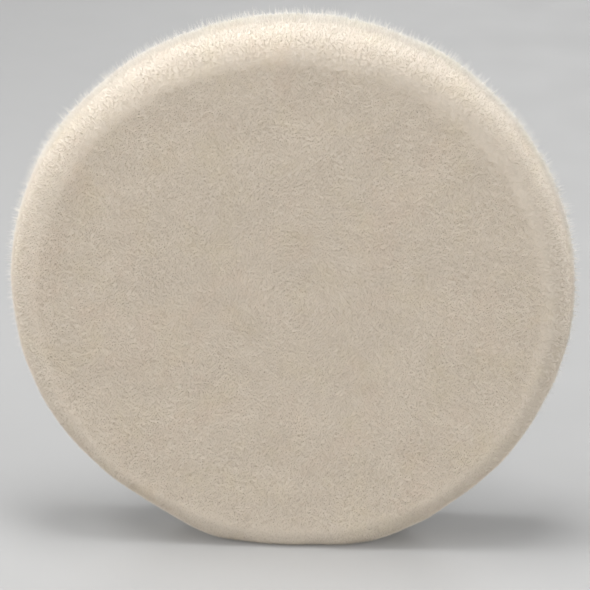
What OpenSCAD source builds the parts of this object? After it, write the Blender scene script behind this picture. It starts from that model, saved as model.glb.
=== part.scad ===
// Round wool polishing pad with a foam interface and a hook-and-loop backing.
// The pad stands on its rim: its axis lies along Y, the wool face looks towards -Y,
// and the origin is the centre of the loop face, which looks towards +Y.

/* [Wool] */
// Diameter over the splayed wool
pad_d = 150; // [100:1:200]
// Height of the pile over its ground cloth
pile_h = 14; // [12:0.5:24]
// Radius of the shoulder between the working face and the rim
shoulder_r = 9; // [4:0.5:11]
// Radius of the rim's rear corner
rear_round = 5.5; // [1:0.5:6]
// How far the wool stands out past its ground cloth
edge_splay = 7; // [6:0.5:12]
// Distance from the loop face to the rear of the splayed wool
rear_setback = 2.5; // [1:0.5:6]
// How deep the wool is pressed flat where the pad stands
stand_press = 3; // [1:0.5:5]

/* [Layers] */
// Thickness of the knitted ground cloth
ground_t = 1.5; // [0.8:0.1:3]
// Thickness of each hot-melt film
film_t = 0.4; // [0.2:0.1:0.8]
// Thickness of the foam interface
foam_t = 6; // [3:0.5:12]
// Thickness of the backing's woven cloth
loop_cloth_t = 0.7; // [0.4:0.1:1.5]
// Height of the brushed loops
nap_h = 1; // [0.5:0.1:2]

/* [Fits] */
// Gap between the side of the foam and the wool that laps over it
lap_gap = 0.5; // [0.3:0.1:1]
// How far the foam's edge stays inside the ground cloth's
foam_inset = 0.5; // [0:0.5:3]
// How far the backing cloth's edge stays inside the foam's
loop_inset = 1; // [0.5:0.5:5]
// How far the loops stay inside the edge of their cloth
nap_inset = 0.5; // [0.5:0.5:3]

/* [Hidden] */
$fn = 120;
// Cuts run past the faces they cut by this much
cut_over = 1;

pad_r = pad_d / 2;
face_r = pad_r - shoulder_r;
ground_r = pad_r - edge_splay;
foam_r = ground_r - foam_inset;
loop_r = foam_r - loop_inset;
nap_r = loop_r - nap_inset;
lap_r = ground_r + lap_gap;

// Heights are counted forward from the loop face, one layer on the next
loop_cloth_h = nap_h;
rear_film_h = loop_cloth_h + loop_cloth_t;
foam_h = rear_film_h + film_t;
front_film_h = foam_h + foam_t;
ground_h = front_film_h + film_t;
pile_base_h = ground_h + ground_t;
pad_t = pile_base_h + pile_h;

// Turns a shape built upwards from z = 0 so that it grows forward from the loop face
module forward() {
  rotate([90, 0, 0]) children();
}

// One flat round layer of the lamination
module layer(r, from_h, thick) {
  forward() translate([0, 0, from_h]) cylinder(r = r, h = thick);
}

// Half section of the splayed wool, radius across and height up
module edge_section() {
  intersection() {
    union() {
      translate([face_r, pad_t - shoulder_r]) circle(r = shoulder_r);
      translate([pad_r - rear_round, rear_setback + rear_round]) circle(r = rear_round);
      translate([0, rear_setback + rear_round])
        square([pad_r, pad_t - shoulder_r - rear_setback - rear_round]);
      translate([0, rear_setback]) square([pad_r - rear_round, rear_round]);
    }
    union() {
      translate([face_r, pile_base_h]) square([shoulder_r, pile_h]);
      translate([ground_r, ground_h]) square([edge_splay, ground_t]);
      translate([lap_r, rear_setback]) square([edge_splay - lap_gap, ground_h - rear_setback]);
    }
  }
}

module pile_face() {
  color("#c9bda8") layer(face_r, pile_base_h, pile_h);
}

module pile_edge() {
  color("#efe6d8")
    difference() {
      forward() rotate_extrude() edge_section();
      translate([-pad_r, -pad_t - cut_over, -pad_r - cut_over])
        cube([pad_d, pad_t + 2 * cut_over, stand_press + cut_over]);
    }
}

module ground_cloth() {
  color("#ddd2bd") layer(ground_r, ground_h, ground_t);
}

module front_film() {
  color("#e8e2c4") layer(foam_r, front_film_h, film_t);
}

module foam_disc() {
  color("#5d6166") layer(foam_r, foam_h, foam_t);
}

module rear_film() {
  color("#e8e2c4") layer(loop_r, rear_film_h, film_t);
}

module loop_cloth() {
  color("#d8d8d4") layer(loop_r, loop_cloth_h, loop_cloth_t);
}

module loop_nap() {
  color("#f0f0ec") layer(nap_r, 0, nap_h);
}

pile_face();
pile_edge();
ground_cloth();
front_film();
foam_disc();
rear_film();
loop_cloth();
loop_nap();
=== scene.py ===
import math

import bmesh
import bpy
import numpy as np
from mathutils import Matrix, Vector, noise


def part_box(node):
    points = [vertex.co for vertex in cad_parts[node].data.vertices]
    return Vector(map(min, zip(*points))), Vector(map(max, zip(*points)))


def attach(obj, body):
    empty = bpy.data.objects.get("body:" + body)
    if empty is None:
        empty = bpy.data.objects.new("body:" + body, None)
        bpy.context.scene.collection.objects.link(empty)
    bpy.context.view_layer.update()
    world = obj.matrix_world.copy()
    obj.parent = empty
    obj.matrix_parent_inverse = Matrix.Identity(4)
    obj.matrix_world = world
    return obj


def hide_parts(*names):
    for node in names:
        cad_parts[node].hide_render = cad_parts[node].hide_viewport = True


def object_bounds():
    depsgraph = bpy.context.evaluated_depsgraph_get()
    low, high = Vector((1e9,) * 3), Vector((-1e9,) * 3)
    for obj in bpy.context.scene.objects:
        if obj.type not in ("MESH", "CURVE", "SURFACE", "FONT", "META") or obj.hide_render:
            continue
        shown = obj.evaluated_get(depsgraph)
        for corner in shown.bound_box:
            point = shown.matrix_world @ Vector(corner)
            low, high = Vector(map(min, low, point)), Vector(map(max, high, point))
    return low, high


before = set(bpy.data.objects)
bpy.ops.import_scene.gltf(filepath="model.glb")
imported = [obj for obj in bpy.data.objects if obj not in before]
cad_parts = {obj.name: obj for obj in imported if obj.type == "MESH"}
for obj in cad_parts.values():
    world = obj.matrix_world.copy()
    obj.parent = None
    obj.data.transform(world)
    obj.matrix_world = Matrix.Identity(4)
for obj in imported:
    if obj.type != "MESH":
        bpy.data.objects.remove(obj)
cadLow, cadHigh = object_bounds()
mm = 0.001

# the pad's own measures, read from the frame: its axis lies along Y and the wool looks towards -Y
faceLow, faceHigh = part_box("pile_face")
edgeLow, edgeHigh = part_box("pile_edge")
groundLow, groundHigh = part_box("ground_cloth")
foamLow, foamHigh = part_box("foam_disc")
clothLow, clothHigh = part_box("loop_cloth")
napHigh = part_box("loop_nap")[1]
padRadius = edgeHigh.x
faceRadius = faceHigh.x
frontY = faceLow.y
pileRootY = faceHigh.y
rearY = edgeHigh.y
floorZ = edgeLow.z


class Wire:
    # one output of a node, so that sums on it are written as sums

    def __init__(self, graph, socket):
        self.graph = graph
        self.socket = socket

    def __add__(self, other):
        return self.graph.sum("ADD", self, other)

    def __sub__(self, other):
        return self.graph.sum("SUBTRACT", self, other)

    def __mul__(self, other):
        return self.graph.sum("MULTIPLY", self, other)

    def __truediv__(self, other):
        return self.graph.sum("DIVIDE", self, other)

    def __pow__(self, other):
        return self.graph.sum("POWER", self, other)

    def __radd__(self, other):
        return self.graph.sum("ADD", other, self)

    def __rsub__(self, other):
        return self.graph.sum("SUBTRACT", other, self)

    def __rmul__(self, other):
        return self.graph.sum("MULTIPLY", other, self)

    def __rtruediv__(self, other):
        return self.graph.sum("DIVIDE", other, self)

    def output(self, name):
        return Wire(self.graph, self.socket.node.outputs[name])


class Graph:
    # a node tree with the few ways this script adds to it

    def __init__(self, tree):
        self.tree = tree

    def put(self, kind, settings=None, values=None, out=0):
        # settings first, because some of them change which sockets the node has
        node = self.tree.nodes.new(kind)
        for name, value in (settings or {}).items():
            setattr(node, name, value)
        for name, value in (values or {}).items():
            self.feed(node.inputs[name], value)
        return Wire(self, node.outputs[out]) if node.outputs else None

    def feed(self, socket, value):
        if isinstance(value, Wire):
            self.tree.links.new(value.socket, socket)
        else:
            socket.default_value = value

    def sum(self, operation, *values):
        return self.put("ShaderNodeMath", {"operation": operation}, dict(enumerate(values)))

    def clamped(self, value):
        return self.put("ShaderNodeClamp", {}, {"Value": value})

    def span(self, value, fromLow, fromHigh, toLow, toHigh):
        values = {0: value, 1: fromLow, 2: fromHigh, 3: toLow, 4: toHigh}
        return self.put("ShaderNodeMapRange", {"clamp": True}, values)

    def vector(self, operation, *values, out=0):
        settings = {"operation": operation}
        return self.put("ShaderNodeVectorMath", settings, dict(enumerate(values)), out)

    def scaled(self, vector, factor):
        values = {0: vector, "Scale": factor}
        return self.put("ShaderNodeVectorMath", {"operation": "SCALE"}, values)

    def mixed(self, share, first, second, way="MIX"):
        settings = {"data_type": "RGBA", "blend_type": way}
        return self.put("ShaderNodeMix", settings, {0: share, 6: first, 7: second}, out=2)

    def noise(self, place, scale, detail=2.0, rough=0.5, out=0):
        values = {"Vector": place, "Scale": scale, "Detail": detail, "Roughness": rough}
        return self.put("ShaderNodeTexNoise", {}, values, out)

    def attribute(self, name):
        return self.put("ShaderNodeAttribute", {"attribute_name": name}, out="Fac")

    def bump(self, look, height, invert=False):
        values = {"Strength": look["bump"], "Distance": look["bumpDeep"], "Height": height}
        return self.put("ShaderNodeBump", {"invert": invert}, values)

    def chance(self, given, low, high, seed):
        # a random number for each point, from the tree's own seed
        values = {2: low, 3: high, "Seed": given.output("Seed") + seed}
        return self.put("FunctionNodeRandomValue", {"data_type": "FLOAT"}, values, out=1)


def newMaterial(name):
    material = bpy.data.materials.new(name)
    material.use_nodes = True
    material.node_tree.nodes.clear()
    graph = Graph(material.node_tree)
    return material, graph, graph.put("ShaderNodeTexCoord", out="Object")


def finishMaterial(graph, values):
    shader = graph.put("ShaderNodeBsdfPrincipled", {}, values)
    graph.put("ShaderNodeOutputMaterial", {}, {"Surface": shader})


def rgba(colour, shade=1.0):
    return (*[c * shade for c in colour], 1.0)


# camera, floor and lights

view = {
    "azimuth": 3.0,  # in degrees, as is the elevation
    "elevation": 24.0,
    "distance": 0.7,
    "width": 155.673 * mm,  # what the picture takes in from side to side, at the pad
    "aimAside": 0.9 * mm,
    "aimDown": 1.9 * mm,
    "sensor": 36,
    "clipStart": 0.01,
}


def makeCamera():
    azimuth, elevation = math.radians(view["azimuth"]), math.radians(view["elevation"])
    level = math.cos(elevation)
    away = Vector((math.sin(azimuth) * level, -math.cos(azimuth) * level, math.sin(elevation)))
    right = Vector((math.cos(azimuth), math.sin(azimuth), 0))
    up = right.cross(-away)
    centre = Vector((0, (frontY + cadHigh.y) / 2, 0))
    aim = centre + right * view["aimAside"] - up * view["aimDown"]
    camera = bpy.data.cameras.new("camera")
    camera.sensor_width = view["sensor"]
    camera.lens = view["sensor"] * view["distance"] / view["width"]
    camera.clip_start = view["clipStart"]
    holder = bpy.data.objects.new("camera", camera)
    holder.location = aim + away * view["distance"]
    holder.rotation_euler = (-away).to_track_quat("-Z", "Y").to_euler()
    bpy.context.scene.collection.objects.link(holder)
    bpy.context.scene.camera = holder


floorLook = {
    "size": 16.0,
    "colour": (0.415, 0.415, 0.412),
    "colourSwing": 0.015,
    "cloudScale": 3.0,
    "grainScale": 40.0,
    "roughness": 0.55,
    "roughSwing": 0.04,
    "specular": 0.3,
}


def makeFloor():
    mesh = bpy.data.meshes.new("floor")
    half = floorLook["size"] / 2
    corners = [(x * half, y * half, floorZ) for x, y in ((-1, -1), (1, -1), (1, 1), (-1, 1))]
    mesh.from_pydata(corners, [], [(0, 1, 2, 3)])
    floor = addObject("floor", mesh)
    material, graph, place = newMaterial("floor_paint")
    swing = floorLook["colourSwing"]
    deep, pale = rgba(floorLook["colour"], 1 - swing), rgba(floorLook["colour"], 1 + swing)
    tone = graph.mixed(graph.noise(place, floorLook["cloudScale"], 2), deep, pale)
    rough, swing = floorLook["roughness"], floorLook["roughSwing"]
    grain = graph.noise(place, floorLook["grainScale"], 3)
    values = {
        "Base Color": tone,
        "Roughness": graph.span(grain, 0.3, 0.7, rough - swing, rough + swing),
        "Specular IOR Level": floorLook["specular"],
    }
    finishMaterial(graph, values)
    mesh.materials.append(material)


# panels hang over the pad, globes stand well away from it on each side; powers in watts
lights = {
    "world": (0.25, 0.25, 0.253),
    "panels": {
        "top": {"place": (-0.02, -0.04, 0.9), "size": (0.4, 0.28), "power": 5.5},
        "topleft": {"place": (-0.45, -0.05, 0.78), "size": (0.3, 0.25), "power": 1.8},
    },
    "globes": {
        "left": {"place": (-1.6, -0.6, 0.55), "radius": 0.45, "power": 80.0},
        "right": {"place": (1.6, -0.6, 0.55), "radius": 0.45, "power": 69.0},
        "front": {"place": (-0.2, -1.6, 0.7), "radius": 0.5, "power": 34.0},
        "rear": {"place": (0.1, 1.7, 0.6), "radius": 0.4, "power": 18.0},
    },
}


def hangLamp(lamp, settings):
    lamp.energy = settings["power"]
    holder = bpy.data.objects.new(lamp.name, lamp)
    holder.location = settings["place"]
    holder.rotation_euler = (-Vector(settings["place"])).to_track_quat("-Z", "Y").to_euler()
    holder.visible_camera = False
    bpy.context.scene.collection.objects.link(holder)


def makeLights():
    world = bpy.data.worlds.new("studio")
    world.use_nodes = True
    bpy.context.scene.world = world
    world.node_tree.nodes["Background"].inputs["Color"].default_value = rgba(lights["world"])
    for name, settings in lights["panels"].items():
        lamp = bpy.data.lights.new(name, "AREA")
        lamp.shape = "RECTANGLE"
        lamp.size, lamp.size_y = settings["size"]
        hangLamp(lamp, settings)
    for name, settings in lights["globes"].items():
        lamp = bpy.data.lights.new(name, "POINT")
        lamp.shadow_soft_size = settings["radius"]
        hangLamp(lamp, settings)
    bpy.context.scene.view_settings.view_transform = "Standard"


# shapes turned about the pad's axis

closeBy = 1e-7  # points nearer than this are one point


def arc(centre, radius, fromDegrees, toDegrees, steps):
    turn = toDegrees - fromDegrees
    angles = [math.radians(fromDegrees + turn * i / steps) for i in range(steps + 1)]
    return [(centre[0] + radius * math.cos(a), centre[1] + radius * math.sin(a)) for a in angles]


def line(start, end, step):
    count = max(1, round(math.dist(start, end) / step))
    across, along = end[0] - start[0], end[1] - start[1]
    return [(start[0] + across * i / count, start[1] + along * i / count) for i in range(count + 1)]


def turned(name, outline, segments):
    # spins an outline of (radius, y) points about the pad's axis; radius 0 makes a closed pole
    points = [outline[0]] + [p for p, q in zip(outline[1:], outline) if math.dist(p, q) > closeBy]
    verts, rings = [], []
    for radius, y in points:
        if radius < closeBy:
            rings.append([len(verts)])
            verts.append((0, y, 0))
            continue
        rings.append(list(range(len(verts), len(verts) + segments)))
        for i in range(segments):
            angle = 2 * math.pi * i / segments
            verts.append((radius * math.cos(angle), y, radius * math.sin(angle)))
    faces = []
    for low, high in zip(rings, rings[1:]):
        for i in range(segments):
            j = (i + 1) % segments
            if len(low) == 1:
                faces.append((low[0], high[i], high[j]))
            elif len(high) == 1:
                faces.append((low[i], high[0], low[j]))
            else:
                faces.append((low[i], high[i], high[j], low[j]))
    mesh = bpy.data.meshes.new(name)
    mesh.from_pydata(verts, [], faces)
    return mesh


def addObject(name, mesh):
    piece = bpy.data.objects.new(name, mesh)
    bpy.context.scene.collection.objects.link(piece)
    return piece


def outwards(mesh):
    shape = bmesh.new()
    shape.from_mesh(mesh)
    bmesh.ops.recalc_face_normals(shape, faces=shape.faces)
    shape.to_mesh(mesh)
    shape.free()


def triangles(piece):
    return sum(len(polygon.vertices) - 2 for polygon in piece.data.polygons)


# the wool's body: the dense inner mass that the fibres grow from

wool = {
    "rearRound": 5.5 * mm,
    "pocketGap": 0.5 * mm,
    "faceInset": 0.65 * mm,  # how far the body keeps under the tips of the pile
    "edgeInset": 1.4 * mm,
    "roundFrom": 66.5 * mm,
    "roundDeep": 10 * mm,
    "roundSteps": 14,
    "rearSteps": 6,
    "segments": 192,
    "step": 1.3 * mm,
    "bareWall": 0.2 * mm,  # this near the pocket's wall or floor, nothing is moved and nothing grows
    "bareFloor": 1 * mm,
    "lump": 0.4 * mm,
    "lumpScale": 70.0,
    "lumpFiner": 2.3,
    "lumpShift": (7, 3, 5),
    "pressGap": 0.4 * mm,
    "slump": 1.8 * mm,
    "slumpFrom": 58 * mm,
    "slumpTo": 69 * mm,
    "sway": 1.3 * mm,
    "swayFrom": 38 * mm,
    "swayTo": 66 * mm,
}


def woolOutline():
    # from the middle of the face, round the shoulder and the rim, to the rear lip
    rear, edge, step = wool["rearRound"], wool["edgeInset"], wool["step"]
    front, start, deep = frontY + wool["faceInset"], wool["roundFrom"], wool["roundDeep"]
    across = padRadius - edge - start
    outline = line((0, front), (start, front), step)
    shoulder = arc((0, 0), 1, -90, 0, wool["roundSteps"])
    outline += [(start + across * r, front + deep * (1 + y)) for r, y in shoulder]
    outline += line((padRadius - edge, front + deep), (padRadius - edge, rearY - rear), step)
    outline += arc((padRadius - rear, rearY - rear), rear - edge, 0, 90, wool["rearSteps"])
    return outline


def lumps(point):
    # slow unevenness of the pile, from about -1 to 1
    spot = Vector(point) * wool["lumpScale"]
    finer = spot * wool["lumpFiner"] + Vector(wool["lumpShift"])
    return noise.noise(spot) + 0.5 * noise.noise(finer)


def eased(values, fromValue, toValue):
    # 0 below the first value and 1 above the second, with a soft start and end
    share = np.clip((values - fromValue) / (toValue - fromValue), 0, 1)
    return share * share * (3 - 2 * share)


def vertexVectors(mesh, name):
    values = np.zeros(len(mesh.vertices) * 3)
    mesh.vertices.foreach_get(name, values)
    return values.reshape(-1, 3)


def makeWoolBody():
    pocket = groundHigh.x + wool["pocketGap"]
    lipY, step = rearY - wool["edgeInset"], wool["step"]
    outline = woolOutline()
    outline += line((padRadius - wool["rearRound"], lipY), (pocket, lipY), step)
    outline += line((pocket, lipY), (pocket, pileRootY), step)
    outline += line((pocket, pileRootY), (0, pileRootY), step)
    mesh = turned("wool_body", outline, wool["segments"])
    outwards(mesh)
    points = vertexVectors(mesh, "co")
    normals = vertexVectors(mesh, "normal")
    radius = np.hypot(points[:, 0], points[:, 2])
    outer = (radius > pocket + wool["bareWall"]) | (points[:, 1] < pileRootY - wool["bareFloor"])
    push = np.array([lumps(p) for p in points]) * wool["lump"]
    points += normals * (push * outer)[:, None]
    # the pile sinks a little over the foot, and the top and bottom lean to one side
    points[:, 2] -= wool["slump"] * eased(-points[:, 2], wool["slumpFrom"], wool["slumpTo"]) * outer
    swayed = eased(np.abs(points[:, 2]), wool["swayFrom"], wool["swayTo"])
    points[:, 0] += wool["sway"] * swayed * outer
    points[:, 2] = np.maximum(points[:, 2], floorZ + wool["pressGap"])
    mesh.vertices.foreach_set("co", points.ravel())
    grows = mesh.attributes.new("grows", "FLOAT", "POINT")
    grows.data.foreach_set("value", outer.astype(np.float32))
    mesh.update()
    mesh.shade_smooth()
    return addObject("wool_body", mesh)


# Geometry Nodes trees, and running one on a mesh


def newTree(name, inputs):
    tree = bpy.data.node_groups.new(name, "GeometryNodeTree")
    tree.interface.new_socket(name="Geometry", in_out="INPUT", socket_type="NodeSocketGeometry")
    for label, kind in inputs:
        tree.interface.new_socket(name=label, in_out="INPUT", socket_type=kind)
    tree.interface.new_socket(name="Geometry", in_out="OUTPUT", socket_type="NodeSocketGeometry")
    graph = Graph(tree)
    return tree, graph, graph.put("NodeGroupInput", out="Geometry")


def grown(tree, source, name, values):
    # what the tree makes on the source, as a plain mesh with no modifier left
    host = addObject(name + "_host", source)
    grower = host.modifiers.new("grower", "NODES")
    grower.node_group = tree
    for item in tree.interface.items_tree:
        if item.in_out == "INPUT" and item.name in values:
            grower[item.identifier] = values[item.name]
    depsgraph = bpy.context.evaluated_depsgraph_get()
    mesh = bpy.data.meshes.new_from_object(host.evaluated_get(depsgraph), depsgraph=depsgraph)
    mesh.name = name
    bpy.data.objects.remove(host)
    return mesh


# wool fibres

fibreKinds = {
    "face": {
        "fromRadius": 0.0,
        "toRadius": faceRadius,
        "fromDepth": -1.0,
        "density": 4.05e6,  # fibres to a square metre
        "length": 0.45 * mm,
        "rimLength": 0.45 * mm,
        "spread": 0.25,
        "rare": 1.0,
        "width": 0.075 * mm,
        "lean": 0.16,
        "comb": 0.1,
        "combScale": 520.0,
        "tuft": 0.06,
        "tuftScale": 1100.0,
        "ragged": 0.08,
        "rows": 1,
    },
    "edge": {
        "fromRadius": faceRadius,
        "toRadius": 1.0,
        "fromDepth": -1.0,
        "density": 4.2e6,
        "length": 0.5 * mm,
        "rimLength": 0.95 * mm,
        "spread": 0.25,
        "rare": 1.0,
        "width": 0.042 * mm,
        "lean": 0.14,
        "comb": 0.08,
        "combScale": 520.0,
        "tuft": 0.04,
        "tuftScale": 1100.0,
        "ragged": 0.06,
        "rows": 1,
    },
    "wisps": {
        "fromRadius": padRadius - 6 * mm,
        "toRadius": 1.0,
        "fromDepth": -12.5 * mm,
        "density": 2.5e6,
        "length": 1.2 * mm,
        "rimLength": 2.15 * mm,
        "spread": 0.62,
        "rare": 2.2,
        "width": 0.05 * mm,
        "lean": 0.36,
        "comb": 0.26,
        "combScale": 340.0,
        "tuft": 0.16,
        "tuftScale": 650.0,
        "ragged": 0.3,
        "rows": 2,
    },
}
fibreInputs = [
    ("Density", "NodeSocketFloat", "density"),
    ("From radius", "NodeSocketFloat", "fromRadius"),
    ("To radius", "NodeSocketFloat", "toRadius"),
    ("From depth", "NodeSocketFloat", "fromDepth"),
    ("Length", "NodeSocketFloat", "length"),
    ("Rim length", "NodeSocketFloat", "rimLength"),
    ("Length spread", "NodeSocketFloat", "spread"),
    ("Rare long ones", "NodeSocketFloat", "rare"),
    ("Width", "NodeSocketFloat", "width"),
    ("Lean", "NodeSocketFloat", "lean"),
    ("Comb", "NodeSocketFloat", "comb"),
    ("Comb scale", "NodeSocketFloat", "combScale"),
    ("Tuft pull", "NodeSocketFloat", "tuft"),
    ("Tuft scale", "NodeSocketFloat", "tuftScale"),
    ("Ragged", "NodeSocketFloat", "ragged"),
    ("Rows", "NodeSocketInt", "rows"),
]
pile = {
    "lengthFrom": frontY + 5 * mm,  # the pile round the rim grows longer towards the rear
    "lengthTo": rearY - 6 * mm,
    "unevenScale": 480.0,
    "swing": 4,  # brings a noise that stays near its middle out to about -1 to 1
    "thick": (0.7, 1.3),
    "shortest": 0.3 * mm,
    "bendPower": 1.6,
    "bendSink": -0.35,  # how much height a fibre loses for the length it is bent by
    "floorGap": 0.12 * mm,
    "smoothing": 0.95,  # how far the fibres are lit as one surface rather than one by one
}


def makeFibreTree():
    inputs = [(label, kind) for label, kind, _ in fibreInputs]
    inputs += [("Floor", "NodeSocketFloat"), ("Seed", "NodeSocketInt"), ("Material", "NodeSocketMaterial")]
    tree, graph, given = newTree("wool_fibres", inputs)

    def named(name, kind):
        return graph.put("GeometryNodeInputNamedAttribute", {"data_type": kind}, {"Name": name})

    def stored(shape, name, value, kind):
        settings = {"data_type": kind, "domain": "POINT"}
        values = {"Geometry": shape, "Name": name, "Value": value}
        return graph.put("GeometryNodeStoreNamedAttribute", settings, values)

    # where fibres grow
    here = graph.put("GeometryNodeInputPosition")
    radius = graph.vector("LENGTH", graph.vector("MULTIPLY", here, (1, 0, 1)), out="Value")
    depth = graph.put("ShaderNodeSeparateXYZ", {}, {0: here}, out="Y")
    selection = graph.sum("GREATER_THAN", radius, given.output("From radius"))
    selection = selection * graph.sum("LESS_THAN", radius, given.output("To radius"))
    selection = selection * graph.sum("GREATER_THAN", depth, given.output("From depth"))
    selection = selection * graph.sum("GREATER_THAN", named("grows", "FLOAT"), 0.5)
    scatter = {"Mesh": given, "Selection": selection}
    scatter.update({"Density": given.output("Density"), "Seed": given.output("Seed")})
    roots = graph.put("GeometryNodeDistributePointsOnFaces", {}, scatter)
    normal = roots.output("Normal")

    # how each one leans: combed in patches, astray by itself and drawn to the middle of its tuft
    usual = graph.span(
        depth, pile["lengthFrom"], pile["lengthTo"], given.output("Length"), given.output("Rim length")
    )
    combed = graph.noise(here, given.output("Comb scale"), 1.0, out="Color")
    combed = graph.vector("SUBTRACT", combed, (0.5, 0.5, 0.5))
    combed = graph.scaled(combed, given.output("Comb") * pile["swing"])
    anywhere = {0: (-1, -1, -1), 1: (1, 1, 1), "Seed": given.output("Seed") + 11}
    stray = graph.put("FunctionNodeRandomValue", {"data_type": "FLOAT_VECTOR"}, anywhere)
    stray = graph.scaled(stray, given.output("Lean"))
    cells = {"Vector": here, "Scale": given.output("Tuft scale"), "Randomness": 1.0}
    middle = graph.put("ShaderNodeTexVoronoi", {}, cells, out="Position")
    pull = graph.scaled(graph.vector("SUBTRACT", middle, here), given.output("Tuft pull"))
    lean = graph.vector("ADD", graph.scaled(graph.vector("ADD", combed, stray), usual), pull)
    upright = graph.scaled(normal, graph.vector("DOT_PRODUCT", lean, normal, out="Value"))
    lean = graph.vector("SUBTRACT", lean, upright)
    shape = stored(roots, "lean", lean, "FLOAT_VECTOR")
    shape = stored(shape, "growth", normal, "FLOAT_VECTOR")
    shape = stored(shape, "tone", graph.chance(given, 0.0, 1.0, 23), "FLOAT")

    # the fibre itself, its size and its turn
    cone = {"Vertices": 3, "Side Segments": given.output("Rows")}
    cone.update({"Radius Top": 0.0, "Radius Bottom": 1.0, "Depth": 1.0})
    hair = graph.put("GeometryNodeMeshCone", {"fill_type": "NONE"}, cone)
    height = graph.put("ShaderNodeSeparateXYZ", {}, {0: here}, out="Z")
    hair = stored(hair, "along", height, "FLOAT")
    uneven = graph.noise(here, pile["unevenScale"], 2.0) - 0.5
    uneven = uneven * pile["swing"] * given.output("Ragged") + 1
    drawn = graph.chance(given, 0.0, 1.0, 5) ** given.output("Rare long ones") * 2 - 1
    length = usual * (given.output("Length spread") * drawn + 1) * uneven
    length = graph.sum("MAXIMUM", length, pile["shortest"])
    thick = given.output("Width") * graph.chance(given, *pile["thick"], 7)
    size = graph.put("ShaderNodeCombineXYZ", {}, {0: thick, 1: thick, 2: length})
    spin = {"Axis": (0, 0, 1), "Angle": graph.chance(given, 0.0, 2 * math.pi, 9)}
    spin = graph.put("FunctionNodeAxisAngleToRotation", {}, spin)
    turn = {0: roots.output("Rotation"), 1: spin}
    turn = graph.put("FunctionNodeRotateRotation", {"rotation_space": "LOCAL"}, turn)
    shape = {"Points": shape, "Instance": hair, "Rotation": turn, "Scale": size}
    shape = graph.put("GeometryNodeInstanceOnPoints", {}, shape)
    shape = graph.put("GeometryNodeRealizeInstances", {}, {"Geometry": shape})

    # bending the tips over, but not into the floor
    bend = graph.scaled(named("lean", "FLOAT_VECTOR"), named("along", "FLOAT") ** pile["bendPower"])
    sink = graph.vector("LENGTH", bend, out="Value") * pile["bendSink"]
    growth = named("growth", "FLOAT_VECTOR")
    moved = graph.vector("ADD", here, graph.vector("ADD", bend, graph.scaled(growth, sink)))
    parts = graph.put("ShaderNodeSeparateXYZ", {}, {0: moved}, out="X")
    lift = graph.sum("MAXIMUM", parts.output("Z"), given.output("Floor"))
    resting = graph.put("ShaderNodeCombineXYZ", {}, {0: parts, 1: parts.output("Y"), 2: lift})
    shape = graph.put("GeometryNodeSetPosition", {}, {"Geometry": shape, "Position": resting})
    own = graph.scaled(graph.put("GeometryNodeInputNormal"), 1 - pile["smoothing"])
    lit = graph.vector("ADD", graph.scaled(growth, pile["smoothing"]), own)
    lit = {"Mesh": shape, "Custom Normal": graph.vector("NORMALIZE", lit)}
    shape = graph.put("GeometryNodeSetMeshNormal", {"mode": "FREE", "domain": "POINT"}, lit)
    finish = {"Geometry": shape, "Material": given.output("Material")}
    shape = graph.put("GeometryNodeSetMaterial", {}, finish)
    graph.put("NodeGroupOutput", {}, {"Geometry": shape})
    return tree


def growFibres(tree, source, name, kind, material, seed):
    values = {label: fibreKinds[kind][key] for label, _, key in fibreInputs}
    values.update({"Floor": floorZ + pile["floorGap"], "Seed": seed, "Material": material})
    mesh = grown(tree, source.data.copy(), name, values)
    for extra in ("lean", "growth"):
        if extra in mesh.attributes:
            mesh.attributes.remove(mesh.attributes[extra])
    return addObject(name, mesh)


# the layers behind the wool

ground = {"round": 0.5 * mm, "step": 2.5 * mm, "segments": 144, "wave": 0.12 * mm, "waveScale": 160.0}
foam = {"round": 0.9 * mm, "step": 1.6 * mm, "segments": 160, "wave": 0.18 * mm, "waveScale": 240.0}
cloth = {"round": 0.2 * mm, "step": 1.8 * mm, "segments": 160, "wave": 0.07 * mm, "waveScale": 110.0}


def makeLayer(name, low, high, settings):
    # a round layer with a softened rim and a slightly uneven surface
    radius, soft, step = high.x, settings["round"], settings["step"]
    outline = line((0, low.y), (radius - soft, low.y), step)
    outline += arc((radius - soft, low.y + soft), soft, -90, 0, 4)
    outline += line((radius, low.y + soft), (radius, high.y - soft), step)
    outline += arc((radius - soft, high.y - soft), soft, 0, 90, 4)
    outline += line((radius - soft, high.y), (0, high.y), step)
    mesh = turned(name, outline, settings["segments"])
    outwards(mesh)
    spots = [v.co.copy() for v in mesh.vertices]
    normals = [v.normal.copy() for v in mesh.vertices]
    for vertex, spot, normal in zip(mesh.vertices, spots, normals):
        shift = noise.noise(spot * settings["waveScale"]) * settings["wave"]
        vertex.co = spot + normal * (shift - settings["wave"])
    mesh.shade_smooth()
    return addObject(name, mesh)


loops = {
    "density": 0.42e6,
    "radius": 0.5 * mm,
    "thickness": 0.1 * mm,
    "spread": 0.3,
    "tilt": 0.6,
    "steps": 5,
    "past": 0.35,  # how far each leg runs past the half circle, in radians
    "sink": 0.12 * mm,
    "inset": 0.3 * mm,
    "seatStep": 6 * mm,
    "seatSegments": 96,
    "pieces": 2,
    "fade": 0.05,  # how much darker the second piece's thread is
}


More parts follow.
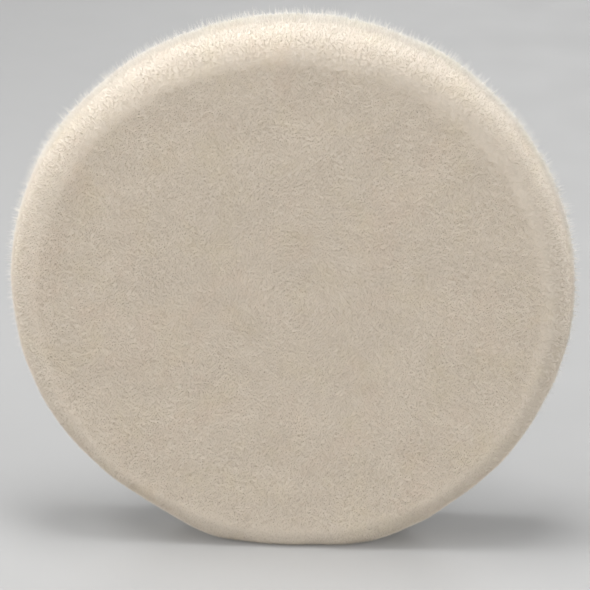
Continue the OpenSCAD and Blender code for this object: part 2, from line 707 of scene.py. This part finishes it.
def makeLoopTree():
    inputs = [(name, "NodeSocketFloat") for name in ("Density", "Radius", "Thickness", "Spread", "Tilt")]
    inputs += [("Steps", "NodeSocketInt"), ("Seed", "NodeSocketInt"), ("Material", "NodeSocketMaterial")]
    tree, graph, given = newTree("hook_loops", inputs)
    scatter = {"Mesh": given, "Density": given.output("Density"), "Seed": given.output("Seed")}
    roots = graph.put("GeometryNodeDistributePointsOnFaces", {}, scatter)
    sweep = {"Resolution": given.output("Steps") + 1, "Radius": given.output("Radius")}
    sweep.update({"Start Angle": -loops["past"], "Sweep Angle": math.pi + 2 * loops["past"]})
    path = graph.put("GeometryNodeCurveArc", {}, sweep)
    ring = {"Resolution": 3, 4: given.output("Thickness")}
    thread = graph.put("GeometryNodeCurvePrimitiveCircle", {}, ring)
    loop = graph.put("GeometryNodeCurveToMesh", {}, {"Curve": path, "Profile Curve": thread})
    standing = {"Geometry": loop, "Rotation": (math.pi / 2, 0, 0)}
    loop = graph.put("GeometryNodeTransform", {}, standing)
    tilt = given.output("Tilt")
    turn = {
        0: graph.chance(given, -1.0, 1.0, 3) * tilt,
        1: graph.chance(given, -1.0, 1.0, 5) * tilt,
        2: graph.chance(given, 0.0, 2 * math.pi, 7),
    }
    turn = graph.put("ShaderNodeCombineXYZ", {}, turn)
    turn = graph.put("FunctionNodeEulerToRotation", {}, {0: turn})
    turn = {0: roots.output("Rotation"), 1: turn}
    turn = graph.put("FunctionNodeRotateRotation", {"rotation_space": "LOCAL"}, turn)
    size = 1 - graph.chance(given, 0.0, 1.0, 9) * given.output("Spread")
    size = graph.put("ShaderNodeCombineXYZ", {}, {0: size, 1: size, 2: size})
    shape = {"Points": roots, "Instance": loop, "Rotation": turn, "Scale": size}
    shape = graph.put("GeometryNodeInstanceOnPoints", {}, shape)
    shape = graph.put("GeometryNodeRealizeInstances", {}, {"Geometry": shape})
    finish = {"Geometry": shape, "Material": given.output("Material")}
    shape = graph.put("GeometryNodeSetMaterial", {}, finish)
    graph.put("NodeGroupOutput", {}, {"Geometry": shape})
    return tree


def growLoops(tree, name, material, seed):
    # loops over the back of the loop cloth, their tops level with the plane that meets the machine
    reach = napHigh.x - loops["inset"] - loops["radius"]
    seatY = napHigh.y - loops["radius"] - loops["thickness"] - loops["sink"]
    seat = line((0, seatY), (reach, seatY), loops["seatStep"])
    seat = turned(name + "_seat", seat, loops["seatSegments"])
    for polygon in seat.polygons:
        if polygon.normal.y < 0:
            polygon.flip()
    values = {key.capitalize(): loops[key] for key in ("density", "radius", "thickness", "spread")}
    values.update({"Tilt": loops["tilt"], "Steps": loops["steps"], "Seed": seed, "Material": material})
    mesh = grown(tree, seat, name, values)
    mesh.shade_smooth()
    return addObject(name, mesh)


# materials

woolLook = {
    # the face's roots are a little lighter than its tips: painted light that offsets the shade down
    # between the fibres
    "faceRoot": (0.66, 0.59, 0.50),
    "faceTip": (0.625, 0.56, 0.478),
    # the rim's paler colours: partly a paler wool, partly painted light for the glow of its lit fibres
    "edgeRoot": (0.88, 0.85, 0.79),
    "edgeTip": (0.87, 0.85, 0.805),
    "paleGlowFrom": -21.5 * mm,  # the pile is painted paler from here towards the rear: partly a paler wool, partly painted light for the glow of the lit rim
    "paleGlowTo": -7 * mm,
    "tone": (0.96, 1.03),
    "grain": (0.975, 1.02),
    "grainScale": 900.0,
    # painted shade: the colour is multiplied by this over a band just past the face's edge
    "shoulder": 0.9,
    "shoulderShadeWide": (0.5 * mm, 3 * mm),  # past the edge of the face
    "shoulderShadeDeep": (3 * mm, 6.5 * mm),  # behind the face
    "stainScale": 85.0,
    "yellow": (0.99, 0.985, 0.93),
    "pink": (1.0, 0.975, 0.965),
    "pinkShift": (0.31, 0.17, 0.43),
    "roughness": 0.85,
    "specular": 0.2,
    "sheen": 0.2,
    "sheenRoughness": 0.5,
}


def paleAndGlowShare(graph, place):
    # how far back from the face a point lies: the rim is painted palest, partly a paler wool and partly
    # painted light for the glow of its lit fibres
    depth = graph.put("ShaderNodeSeparateXYZ", {}, {0: place}, out="Y")
    return graph.span(depth, woolLook["paleGlowFrom"], woolLook["paleGlowTo"], 0.0, 1.0)


def stainsAndShoulderShade(graph, place, colour):
    # faint yellowish and pinkish stains, and painted shade over a band at the shoulder, where the splayed
    # pile would shadow itself
    apart = graph.put("ShaderNodeSeparateXYZ", {}, {0: place}, out="X")
    radius = (apart * apart + apart.output("Z") * apart.output("Z")) ** 0.5
    near, far = woolLook["shoulderShadeWide"]
    shoulderShade = graph.span(radius, faceRadius + near, faceRadius + far, 0.0, 1.0)
    near, far = woolLook["shoulderShadeDeep"]
    shoulderShade = shoulderShade * graph.span(apart.output("Y"), frontY + near, frontY + far, 1.0, 0.0)
    # painted shade: the band is multiplied darker, the wool itself is no darker there
    shoulder = rgba((1, 1, 1), woolLook["shoulder"])
    colour = graph.mixed(shoulderShade, colour, shoulder, "MULTIPLY")
    shifted = graph.vector("ADD", place, woolLook["pinkShift"])
    yellow = graph.noise(place, woolLook["stainScale"], 3, 0.6)
    pink = graph.noise(shifted, woolLook["stainScale"], 3, 0.6)
    yellow = graph.span(yellow, 0.5, 0.68, 0.0, 0.5)
    pink = graph.span(pink, 0.52, 0.68, 0.0, 0.6)
    colour = graph.mixed(yellow, colour, rgba(woolLook["yellow"]), "MULTIPLY")
    return graph.mixed(pink, colour, rgba(woolLook["pink"]), "MULTIPLY")


def fibreMaterial(name, shade):
    material, graph, place = newMaterial(name)
    pale = paleAndGlowShare(graph, place)
    along = graph.span(graph.attribute("along"), 0.0, 0.8, 0.0, 1.0)
    deepest, palest = woolLook["tone"]
    tone = graph.span(graph.attribute("tone"), 0.0, 1.0, deepest * shade, palest * shade)
    grain = graph.noise(place, woolLook["grainScale"], 2, 0.6)
    light = tone * graph.span(grain, 0.3, 0.7, *woolLook["grain"])
    light = graph.put("ShaderNodeCombineColor", {}, {0: light, 1: light, 2: light})
    # root and tip turn to the rim's paler colours towards the rear: partly a paler wool, partly painted
    # light for the rim's glow
    root = graph.mixed(pale, rgba(woolLook["faceRoot"]), rgba(woolLook["edgeRoot"]))
    tip = graph.mixed(pale, rgba(woolLook["faceTip"]), rgba(woolLook["edgeTip"]))
    # from root to tip along each fibre; the lighter roots on the face are painted light against the shade
    # between the fibres
    colour = graph.mixed(1.0, graph.mixed(along, root, tip), light, "MULTIPLY")
    values = {
        "Base Color": stainsAndShoulderShade(graph, place, colour),
        "Roughness": woolLook["roughness"],
        "Specular IOR Level": woolLook["specular"],
        "Sheen Weight": woolLook["sheen"],
        "Sheen Roughness": woolLook["sheenRoughness"],
    }
    finishMaterial(graph, values)
    return material


deepLook = {
    "faceDark": (0.63, 0.565, 0.48),
    "faceLight": (0.67, 0.60, 0.51),
    # the rim's paler body colours: partly a paler wool, partly painted light for the glow of the lit rim
    "edgeDark": (0.84, 0.80, 0.74),
    "edgeLight": (0.88, 0.84, 0.78),
    "grainScale": 1100.0,
    "bump": 0.4,
    "bumpDeep": 0.3 * mm,
    "roughness": 0.95,
    "specular": 0.1,
}


def deepMaterial():
    material, graph, place = newMaterial("wool_deep_pile")
    grain = graph.noise(place, deepLook["grainScale"], 3, 0.6)
    pale = paleAndGlowShare(graph, place)
    # the body turns to the rim's paler colours towards the rear: partly a paler wool, partly painted light
    # for the rim's glow
    dark = graph.mixed(pale, rgba(deepLook["faceDark"]), rgba(deepLook["edgeDark"]))
    light = graph.mixed(pale, rgba(deepLook["faceLight"]), rgba(deepLook["edgeLight"]))
    colour = graph.mixed(graph.span(grain, 0.35, 0.65, 0, 1), dark, light)
    values = {
        "Base Color": stainsAndShoulderShade(graph, place, colour),
        "Roughness": deepLook["roughness"],
        "Normal": graph.bump(deepLook, grain),
        "Specular IOR Level": deepLook["specular"],
    }
    finishMaterial(graph, values)
    return material


knitLook = {
    # dark is the colour of the hollows between the ribs: painted shade
    "dark": (0.60, 0.57, 0.52),
    "light": (0.82, 0.80, 0.75),
    "pitch": 1.1 * mm,  # from one rib of the knit to the next
    "ribs": 0.7,
    "fuzz": 0.3,
    "fuzzScale": 1500.0,
    "bump": 0.6,
    "bumpDeep": 0.3 * mm,
    "roughness": 0.9,
    "specular": 0.15,
}


def knitMaterial():
    material, graph, place = newMaterial("ground_knit")
    parts = graph.put("ShaderNodeSeparateXYZ", {}, {0: place}, out="X")
    pitch = knitLook["pitch"]
    lean = graph.sum("ABSOLUTE", graph.sum("PINGPONG", parts, pitch / 2) / (pitch / 2))
    rows = graph.sum("SINE", (parts.output("Z") / pitch + lean * 0.5) * 2 * math.pi) * 0.5 + 0.5
    height = rows * knitLook["ribs"] + graph.noise(place, knitLook["fuzzScale"], 3) * knitLook["fuzz"]
    values = {
        # darker in the hollows between the ribs: painted shade that follows the bump; the fuzz adds random
        # tone
        "Base Color": graph.mixed(graph.clamped(height), rgba(knitLook["dark"]), rgba(knitLook["light"])),
        "Roughness": knitLook["roughness"],
        "Normal": graph.bump(knitLook, height),
        "Specular IOR Level": knitLook["specular"],
    }
    finishMaterial(graph, values)
    return material


foamLook = {
    "wall": (0.33, 0.35, 0.37),
    # the pores' colour is darker: painted shade inside them
    "poreShade": (0.19, 0.205, 0.22),
    "patch": (0.40, 0.42, 0.44),
    "poreScale": 1500.0,
    "patchScale": 60.0,
    "patchShare": 0.3,
    "bump": 0.7,
    "bumpDeep": 0.3 * mm,
    "roughness": (0.8, 0.95),
    "specular": 0.2,
}


def foamMaterial():
    material, graph, place = newMaterial("cut_foam")
    cells = {"Vector": place, "Scale": foamLook["poreScale"]}
    pores = graph.span(graph.put("ShaderNodeTexVoronoi", {}, cells), 0.1, 0.55, 0.0, 1.0)
    patch = graph.noise(place, foamLook["patchScale"], 3)
    # darker in the pores: painted shade that follows the bump
    colour = graph.mixed(pores, rgba(foamLook["wall"]), rgba(foamLook["poreShade"]))
    values = {
        "Base Color": graph.mixed(patch * foamLook["patchShare"], colour, rgba(foamLook["patch"])),
        "Roughness": graph.span(patch, 0.3, 0.7, *foamLook["roughness"]),
        "Normal": graph.bump(foamLook, pores, invert=True),
        "Specular IOR Level": foamLook["specular"],
    }
    finishMaterial(graph, values)
    return material


filmLook = {
    "dark": (0.72, 0.66, 0.50),
    "light": (0.82, 0.77, 0.63),
    "flowScale": 140.0,
    "bump": 0.3,
    "bumpDeep": 0.1 * mm,
    "roughness": (0.28, 0.42),
}


def filmMaterial():
    material, graph, place = newMaterial("hot_melt")
    flow = graph.noise(place, filmLook["flowScale"], 4, 0.6)
    cloudy = graph.span(flow, 0.3, 0.7, 0, 1)
    values = {
        "Base Color": graph.mixed(cloudy, rgba(filmLook["dark"]), rgba(filmLook["light"])),
        "Roughness": graph.span(flow, 0.3, 0.7, *filmLook["roughness"]),
        "Normal": graph.bump(filmLook, flow),
    }
    finishMaterial(graph, values)
    return material


weaveLook = {
    # dark is the colour of the dips between the threads: painted shade
    "dark": (0.50, 0.495, 0.48),
    "light": (0.78, 0.775, 0.76),
    "pitch": 0.55 * mm,  # from one thread to the next but one
    "threads": 0.6,
    "fuzz": 0.4,
    "fuzzScale": 2200.0,
    "bump": 0.6,
    "bumpDeep": 0.15 * mm,
    "roughness": 0.75,
    "sheen": 0.2,
}


def weaveMaterial():
    material, graph, place = newMaterial("loop_backing_weave")
    parts = graph.put("ShaderNodeSeparateXYZ", {}, {0: place}, out="X")
    across = graph.sum("SINE", parts / weaveLook["pitch"] * 2 * math.pi)
    upward = graph.sum("SINE", parts.output("Z") / weaveLook["pitch"] * 2 * math.pi)
    height = (across * upward + 1) * 0.5
    fuzz = graph.noise(place, weaveLook["fuzzScale"], 3)
    share = height * weaveLook["threads"] + fuzz * weaveLook["fuzz"]
    values = {
        # darker in the dips of the weave: painted shade that follows the bump; the fuzz adds random tone
        "Base Color": graph.mixed(share, rgba(weaveLook["dark"]), rgba(weaveLook["light"])),
        "Roughness": weaveLook["roughness"],
        "Normal": graph.bump(weaveLook, height + fuzz * 0.5),
        "Sheen Weight": weaveLook["sheen"],
    }
    finishMaterial(graph, values)
    return material


loopLook = {
    "dark": (0.80, 0.795, 0.78),
    "light": (0.94, 0.935, 0.925),
    "toneScale": 420.0,
    "roughness": 0.55,
    "sheen": 0.3,
}


def loopMaterial(name, shade):
    material, graph, place = newMaterial(name)
    tone = graph.span(graph.noise(place, loopLook["toneScale"], 3, 0.6), 0.3, 0.7, 0.0, 1.0)
    values = {
        "Base Color": graph.mixed(tone, rgba(loopLook["dark"], shade), rgba(loopLook["light"], shade)),
        "Roughness": loopLook["roughness"],
        "Sheen Weight": loopLook["sheen"],
    }
    finishMaterial(graph, values)
    return material


# putting the object together

makeCamera()
makeFloor()
makeLights()
print("stage set")

woolBody = makeWoolBody()
woolBody.data.materials.append(deepMaterial())
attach(woolBody, "root")
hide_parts("pile_face", "pile_edge")
print("wool body made")

# each kind of fibre is cut into pieces that differ a little in shade
coats = [
    {"name": "wool_face", "kind": "face", "slot": "wool_face", "pieces": 4, "shades": (0.97, 1.03)},
    {"name": "wool_edge", "kind": "edge", "slot": "wool_edge", "pieces": 4, "shades": (0.97, 1.03)},
    {"name": "wool_wisps", "kind": "wisps", "slot": "wool_edge", "pieces": 2, "shades": (0.9, 0.92)},
]
firstSeed, seedStep = 40, 100
fibreTree = makeFibreTree()
seed = firstSeed
for coat in coats:
    for index in range(coat["pieces"]):
        share = index / max(1, coat["pieces"] - 1)
        dark, pale = coat["shades"]
        name = f"{coat['name']}_{index + 1}"
        material = fibreMaterial(name, dark + (pale - dark) * share)
        piece = growFibres(fibreTree, woolBody, name, coat["kind"], material, seed)
        seed += seedStep
        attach(piece, "root")
        print(piece.name, triangles(piece), "triangles")

groundPiece = makeLayer("ground_fabric", groundLow, groundHigh, ground)
groundPiece.data.materials.append(knitMaterial())
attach(groundPiece, "root")
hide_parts("ground_cloth")

foamPiece = makeLayer("foam_pad", foamLow, foamHigh, foam)
foamPiece.data.materials.append(foamMaterial())
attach(foamPiece, "root")
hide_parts("foam_disc")

clothPiece = makeLayer("loop_backing", clothLow, clothHigh, cloth)
clothPiece.data.materials.append(weaveMaterial())
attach(clothPiece, "root")
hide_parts("loop_cloth")

# the two films are shown as the frame has them
film = filmMaterial()
for name in ("front_film", "rear_film"):
    bpy.data.objects[name].data.materials.clear()
    bpy.data.objects[name].data.materials.append(film)

firstLoopSeed = 900
loopTree = makeLoopTree()
for index in range(loops["pieces"]):
    material = loopMaterial(f"loop_thread_{index + 1}", 1 - loops["fade"] * index)
    piece = growLoops(loopTree, f"loops_{index + 1}", material, firstLoopSeed + seedStep * index)
    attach(piece, "root")
    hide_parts("loop_nap")
    print(piece.name, triangles(piece), "triangles")
print("layers and loops made")
